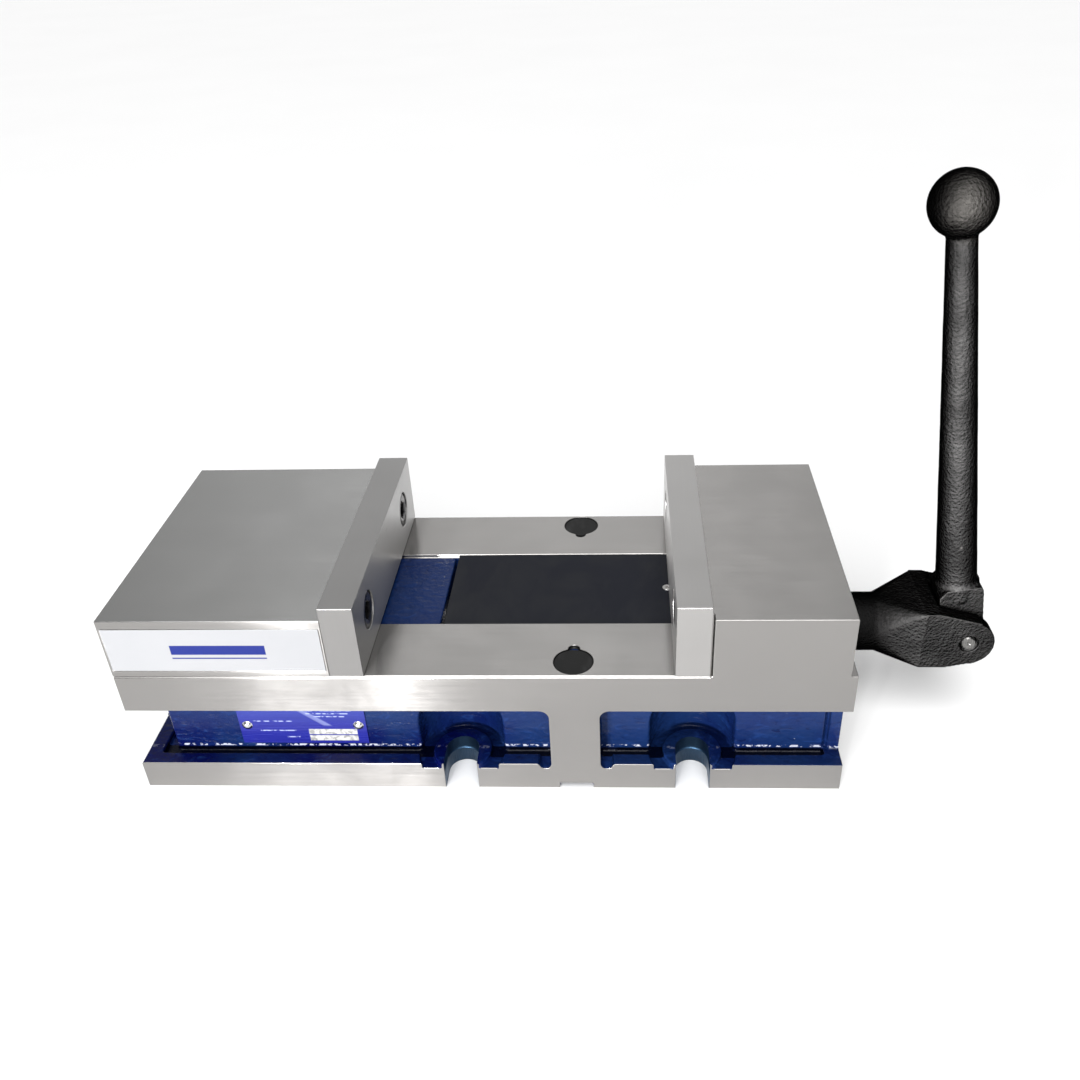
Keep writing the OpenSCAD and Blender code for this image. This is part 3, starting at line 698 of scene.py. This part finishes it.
def lead_screw_piece(steel):
    """The screw with a true helical thread, its journal, bearing collar and hexagon end."""
    low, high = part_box("lead_screw")
    lead, crest, root = 5.08 * MM, 14.3 * MM, 12.4 * MM
    start, stop = -148 * MM, 146 * MM
    steps, per_turn = 48, 10

    def thread(x):
        def radius(turn):
            phase = (x / lead - turn / (2 * math.pi)) % 1.0
            flank = min(1.0, max(0.0, abs(phase - 0.5) / 0.18 - 0.89))
            fade = min(1.0, (x - start) / lead, (stop - x) / lead)
            return root + (crest - root) * (1 - flank) * max(0.0, fade)
        return radius

    count = round((stop - start) / lead * per_turn)
    middle = [(thread(start + (stop - start) * i / count), start + (stop - start) * i / count)
              for i in range(count + 1)]
    tail = [(0, low.x), (8.6 * MM, low.x), (9.5 * MM, low.x + 0.9 * MM), (9.5 * MM, start)]
    collar = 18.4 * MM
    head = [(14.5 * MM, stop), (14.5 * MM, 166 * MM), (collar - 0.5 * MM, 166 * MM), (collar, 166.5 * MM),
            (collar, 170.5 * MM), (collar - 0.5 * MM, 171 * MM), (11.05 * MM, 171 * MM),
            (11.05 * MM, 183.4 * MM), (10.6 * MM, 184 * MM), (hexagon(19.05 * MM), 184 * MM),
            (hexagon(19.05 * MM), 205 * MM), (9.4 * MM, high.x), (8.6 * MM, high.x), (0, high.x)]
    bm = turned(tail + middle + head, steps, (0, 0, SCREW_Z), (1, 0, 0))
    sharp_by_angle(bm, 28)
    return place("screw_with_thread", bm, [steel], "spindle", ("lead_screw",))


# ---------------------------------------------------------------- crank

LEAN = math.radians(8.75)
PIVOT = (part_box("handle_pivot_pin")[0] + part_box("handle_pivot_pin")[1]) / 2
LEVER_FRAME = Matrix.Translation(PIVOT) @ Matrix.Rotation(-LEAN, 4, "Y")


def forged(piece, voxel, smoothing, swell, scale):
    """Fuses a piece into one soft-edged skin and gives it a slightly uneven forged surface."""
    remesh = piece.modifiers.new("skin", "REMESH")
    remesh.mode = "VOXEL"
    remesh.voxel_size = voxel
    remesh.use_smooth_shade = True
    smooth = piece.modifiers.new("soften", "SMOOTH")
    smooth.factor = 0.5
    smooth.iterations = smoothing
    texture = bpy.data.textures.new(piece.name + "_swell", "CLOUDS")
    texture.noise_scale = scale
    texture.noise_depth = 2
    displace = piece.modifiers.new("uneven", "DISPLACE")
    displace.texture = texture
    displace.texture_coords = "LOCAL"
    displace.strength = swell
    displace.mid_level = 0.62
    return piece


def prism(bm, outline, y0, y1, frame):
    """Adds a closed prism: an outline in X and Z between two Y values, in a frame."""
    near = [bm.verts.new(frame @ Vector((x, y0, z))) for x, z in outline]
    far = [bm.verts.new(frame @ Vector((x, y1, z))) for x, z in outline]
    faces = [bm.faces.new(near), bm.faces.new(list(reversed(far)))]
    for i in range(len(outline)):
        j = (i + 1) % len(outline)
        faces.append(bm.faces.new([near[i], far[i], far[j], near[j]]))
    bmesh.ops.recalc_face_normals(bm, faces=faces)


def lever_piece(material):
    """Forged lever: a round root, a shouldered block, a tapered bar and a ball."""
    root_r, top_w, left, right, half_w = 12.9 * MM, 28.9 * MM, -12.9 * MM, 10.2 * MM, 11.4 * MM
    bar_u, ball_w, ball_r = -1.4 * MM, 229.6 * MM, 15.05 * MM
    chamfer = 4.2 * MM
    bm = bmesh.new()
    root = [(root_r * math.cos(a), root_r * math.sin(a))
            for a in (math.radians(180 + 180 * i / 24) for i in range(25))]
    block = [(right, 0), (right, top_w - 2.2 * MM), (right - 1.2 * MM, top_w),
             (left + chamfer, top_w), (left, top_w - chamfer), (left, 0)]
    prism(bm, root + [(right, 0.5 * MM)] + block[1:5] + [(left, 0.5 * MM)], -half_w, half_w, LEVER_FRAME)
    neck_low, neck_high = 10.7 * MM, 6.9 * MM
    rise = ball_w - top_w
    rings = [(0, -8 * MM), (neck_low + 1.2 * MM, -8 * MM), (neck_low + 1.2 * MM, 0),
             (neck_low + 0.5 * MM, 0.8 * MM), (neck_low, 2.4 * MM)]
    meet = rise - math.sqrt(ball_r ** 2 - (neck_high + 1.0 * MM) ** 2)
    count = 22
    for i in range(1, count + 1):
        t = i / count
        along = 2.4 * MM + (meet - 4.5 * MM) * t
        rings.append((neck_low + (neck_high - neck_low) * t, along))
    rings.append((neck_high + 0.35 * MM, meet - 0.7 * MM))
    polar = math.degrees(math.asin((neck_high + 1.0 * MM) / ball_r))
    rings += arc_rings(0, rise, ball_r, 180 - polar, 4, 26)
    rings.append((0, rise + ball_r))
    base = LEVER_FRAME @ Vector((bar_u, 0, top_w))
    up = LEVER_FRAME.to_3x3() @ Vector((0, 0, 1))
    turned(rings, 72, base, up, bm)
    piece = place("forged_lever", bm, [material], "lever", ("handle_lever",))
    return forged(piece, 0.6 * MM, 1, 0.24 * MM, 0.014)


def socket_piece(material):
    """Forged socket: the CAD shape with its edges softened into one skin."""
    bm = solid_copy("handle_socket")
    bmesh.ops.triangulate(bm, faces=bm.faces)
    piece = place("forged_socket", bm, [material], "socket", ("handle_socket",))
    return forged(piece, 0.5 * MM, 2, 0.16 * MM, 0.010)


# ---------------------------------------------------------------- assembly of the looks

STEEL = ground_steel("ground_steel", tone=(0.41, 0.40, 0.39))
STEEL_END = ground_steel("ground_steel_end", along="Y", tone=(0.42, 0.41, 0.40))
# The side faces get ground steel darker than the tops, as painted shade.
STEEL_SIDE_PAINTED_SHADE = ground_steel("ground_steel_side_painted_shade", tone=(0.30, 0.291, 0.282), rough=0.19)
# The plates' end faces get ground steel darker than their tops, as painted shade.
PLATE_END_STEEL_PAINTED_SHADE = ground_steel("plate_end_steel_painted_shade", along="Z", tone=(0.36, 0.352, 0.345), rough=0.3)
STEEL_DARK = ground_steel("ground_steel_jaw", tone=(0.42, 0.42, 0.415))
STEEL_PLATE = ground_steel("ground_steel_plate", along="Y", tone=(0.46, 0.455, 0.45), rough=0.3)
# The fixed plate's steel is a lighter copy of the movable plate's, as painted light; its end faces stay darker
# than its top, as painted shade.
FIXED_PLATE_END_PAINTED_LIGHT_AND_SHADE = ground_steel("fixed_plate_end_painted_light_and_shade", along="Z", tone=(0.46, 0.45, 0.44), rough=0.3)
FIXED_PLATE_PAINTED_LIGHT = ground_steel("fixed_plate_steel_painted_light", along="Y", tone=(0.63, 0.62, 0.61), rough=0.3)
ENAMEL = enamel("blue_enamel")
BORED_STEEL = turned_steel("bored_iron", (0.32, 0.31, 0.30), 0.34)
# The bolt wells' walls are near-black iron: painted shade.
WELL_PAINTED_SHADE = turned_steel("bolt_well_painted_shade", (0.025, 0.025, 0.025), 0.4)
# The clamp notches' walls are blue-grey iron, paler than the enamel around them: painted light.
NOTCH_PAINTED_LIGHT = turned_steel("clamp_notch_painted_light", (0.045, 0.095, 0.165), 0.42)
PIN_STEEL = turned_steel("pin_steel", (0.20, 0.197, 0.19), 0.25)
BRIGHT = turned_steel("bright_steel", (0.86, 0.85, 0.84), 0.2)
HARD = turned_steel("bearing_steel", (0.62, 0.62, 0.62), 0.18)
SCREW = turned_steel("screw_steel", (0.40, 0.39, 0.38), 0.28)
OXIDE = black_oxide("black_oxide")
FORGED = forged_black("forged_black")
BRASS = cage_brass("cage_brass")
RUBBER = moulded_plastic("seal_rubber", (0.012, 0.012, 0.012), 0.6)
PLASTIC = moulded_plastic("plug_plastic", (0.010, 0.010, 0.010), 0.5)
GUARD = guard_steel("guard_steel")
LABEL = label_film("label_film", *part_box("jaw_side_label"))
PLATE = plate_foil("data_plate_foil", *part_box("data_plate"))

# The side faces take ground steel darkened as painted shade, the wells near-black iron as painted shade, and
# the notches paler blue-grey iron as painted light.
BODY_FINISHES = [STEEL, ENAMEL, BORED_STEEL, STEEL_END, STEEL_SIDE_PAINTED_SHADE, WELL_PAINTED_SHADE, NOTCH_PAINTED_LIGHT]
refined("body", "casting", BODY_FINISHES, "base",
        width=1.3 * MM, segments=3, zone=body_zone, weight_of=body_edge_weight)
refined("movable_jaw", "movable_jaw_block", [STEEL_DARK, STEEL_END, STEEL_SIDE_PAINTED_SHADE], "jaw",
        width=0.5 * MM, zone=jaw_zone)
refined("movable_jaw_plate", "movable_plate", [STEEL_PLATE, PLATE_END_STEEL_PAINTED_SHADE], "jaw", 0.5 * MM,
        zone=ends_of("Y"))
refined("fixed_jaw_plate", "fixed_plate", [FIXED_PLATE_PAINTED_LIGHT, FIXED_PLATE_END_PAINTED_LIGHT_AND_SHADE], "base",
        width=0.5 * MM, zone=ends_of("Y"))
refined("jaw_side_label", "side_label", [LABEL], "jaw", 0.12 * MM)
refined("data_plate", "data_plate_sheet", [PLATE], "base", 0.2 * MM)
refined("bed_plugs", "bolt_plugs", [PLASTIC], "base", 0.6 * MM, 3)
refined("chip_guard", "chip_guard_sheet", [GUARD], "guard", 0.25 * MM)
refined("nut_carriage", "nut_casting", [ENAMEL], "jaw", 0.9 * MM, 3)
refined("bearing_cap", "bearing_ring", [OXIDE], "base", 0.3 * MM)
refined("stop_collar", "screw_stop_collar", [OXIDE], "spindle", 0.5 * MM)

cap_screws("fixed_plate_screws", "fixed_cap_screws", -1, OXIDE)
cap_screws("movable_plate_screws", "movable_cap_screws", 1, OXIDE)
pivot_pin(PIN_STEEL)
stop_screw(BRIGHT)
rivets(HARD)
lead_screw_piece(SCREW)
lever_piece(FORGED)
socket_piece(FORGED)

KEPT_NODES = {
    "jaw_set_screw": OXIDE, "angle_segment": HARD, "segment_o_ring": RUBBER,
    "stop_collar_pin": HARD, "inner_thrust_washer": HARD, "needle_cage": BRASS,
    "thrust_needles": HARD, "outer_thrust_washer": HARD, "screw_seal": RUBBER,
}
for node, material in KEPT_NODES.items():
    mesh = NODES[node].data
    mesh.materials.clear()
    mesh.materials.append(material)


# ---------------------------------------------------------------- studio

def studio_floor():
    """A wide pale floor under the vise."""
    t = Tree("studio_floor")
    t.surface(Base_Color=t.mix(t.noise(3, 2.0), (0.90, 0.90, 0.90), (0.93, 0.93, 0.93)), Roughness=0.9,
              Specular_IOR_Level=0.1)
    bm = bmesh.new()
    bmesh.ops.create_grid(bm, x_segments=2, y_segments=2, size=6.0)
    mesh = bpy.data.meshes.new("studio_floor")
    bm.to_mesh(mesh)
    bm.free()
    mesh.materials.append(t.material)
    floor = bpy.data.objects.new("studio_floor", mesh)
    floor.location.z = cad_low.z
    bpy.context.scene.collection.objects.link(floor)


def area_light(name, place_at, look_at, width, height, power, tone=(1, 1, 1)):
    """A soft rectangular light that points at a place and hides from the camera."""
    light = bpy.data.lights.new(name, "AREA")
    light.shape = "RECTANGLE"
    light.size, light.size_y = width, height
    light.energy = power
    light.color = tone
    lamp = bpy.data.objects.new(name, light)
    lamp.location = place_at
    lamp.rotation_euler = (Vector(look_at) - Vector(place_at)).to_track_quat("-Z", "Y").to_euler()
    lamp.visible_camera = False
    bpy.context.scene.collection.objects.link(lamp)


def sun_light(name, direction, strength, spread):
    """An even, very soft light from a direction."""
    light = bpy.data.lights.new(name, "SUN")
    light.energy = strength
    light.angle = math.radians(spread)
    lamp = bpy.data.objects.new(name, light)
    lamp.rotation_euler = Vector(direction).to_track_quat("-Z", "Y").to_euler()
    bpy.context.scene.collection.objects.link(lamp)


def studio_world(middle, fall_side, fall_top):
    """An even grey room that darkens towards the sides and towards the ceiling."""
    world = bpy.data.worlds.new("studio_room")
    world.use_nodes = True
    tree = world.node_tree
    tree.nodes.clear()
    output = tree.nodes.new("ShaderNodeOutputWorld")
    shade = tree.nodes.new("ShaderNodeBackground")
    split = tree.nodes.new("ShaderNodeSeparateXYZ")
    tree.links.new(tree.nodes.new("ShaderNodeTexCoord").outputs["Generated"], split.inputs[0])

    def step(kind, a, b):
        node = tree.nodes.new("ShaderNodeMath")
        node.operation = kind
        for socket, value in zip(node.inputs, (a, b)):
            if isinstance(value, bpy.types.NodeSocket):
                tree.links.new(value, socket)
            else:
                socket.default_value = value
        return node.outputs[0]

    side = step("MULTIPLY", step("ABSOLUTE", step("ADD", split.outputs["X"], 0.05), 0), -fall_side)
    top = step("MULTIPLY", step("MAXIMUM", split.outputs["Z"], 0.0), -fall_top)
    glow = step("ADD", step("ADD", side, top), middle)
    tree.links.new(step("MAXIMUM", glow, 0.1), shade.inputs["Strength"])
    tree.links.new(shade.outputs[0], output.inputs[0])
    bpy.context.scene.world = world


def camera():
    """A 34 mm view from the front, 33 degrees above the bed and a little right of the middle."""
    data = bpy.data.cameras.new("camera")
    data.sensor_width = 36
    data.lens = 34.03
    data.shift_x = -0.0315
    data.shift_y = 0.0032
    data.clip_start = 0.02
    right = Vector((0.99887, 0.03646, -0.03065))
    forward = Vector((-0.04723, 0.84101, -0.53895)).normalized()
    up = right.cross(forward).normalized()
    right = forward.cross(up)
    turn = Matrix((right, up, -forward)).transposed()
    rig = bpy.data.objects.new("camera", data)
    rig.matrix_world = Matrix.Translation((0.0701, -0.4598, 0.3989)) @ turn.to_4x4()
    bpy.context.scene.collection.objects.link(rig)
    bpy.context.scene.camera = rig


studio_floor()
studio_world(1.12, 0.85, 0.30)
sun_light("overhead", (0.05, 0.45, -1.0), 2.1, 50)
area_light("front_fill", (0.15, -1.4, 0.9), (0.0, 0.0, 0.05), 0.8, 0.8, 10)
area_light("glint_narrow", (-0.59, -1.6, 0.16), (0.0, -0.08, 0.05), 0.035, 0.28, 17)
area_light("glint_broad", (-0.38, -1.6, 0.16), (0.0, -0.08, 0.05), 0.08, 0.28, 28)
camera()
bpy.context.scene.view_settings.view_transform = "Standard"
